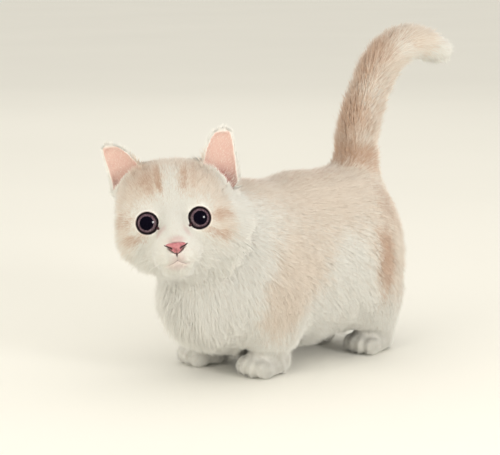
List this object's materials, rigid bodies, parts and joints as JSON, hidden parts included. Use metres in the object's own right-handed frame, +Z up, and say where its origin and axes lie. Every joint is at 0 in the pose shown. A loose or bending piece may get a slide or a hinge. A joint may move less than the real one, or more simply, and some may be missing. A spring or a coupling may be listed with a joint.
{
  "type": "munchkin kitten",
  "caption": "Still, life-size model of a short-legged cream and white kitten standing on four paws, head turned to its left and tail raised.",
  "frame": {"origin": "on the floor, below the middle of the box round the whole cat", "axes": "+Z up, the body faces -Y, and its left side is +X"},
  "size_m": [0.0934, 0.2752, 0.2063],
  "materials": {
    "white_coat": "short dense white fur",
    "cream_coat": "short dense cream fur",
    "ear_skin": "thin pink skin with a fine white rim",
    "nose_leather": "moist pink nose leather",
    "eye": "wet, dark, wide pupil with a narrow brown iris"
  },
  "bodies": {
    "root": {"head": "white_coat", "nose": "nose_leather", "ear_left": "ear_skin", "ear_right": "ear_skin", "eye_left": "eye", "eye_right": "eye", "neck": "white_coat", "torso": "cream_coat", "leg_front_left": "cream_coat", "paw_front_left": "white_coat", "leg_hind_left": "cream_coat", "paw_hind_left": "white_coat", "leg_front_right": "cream_coat", "paw_front_right": "white_coat", "leg_hind_right": "cream_coat", "paw_hind_right": "white_coat", "tail_base": "cream_coat", "tail_middle": "cream_coat", "tail_tip": "cream_coat"}
  },
  "joints": []
}
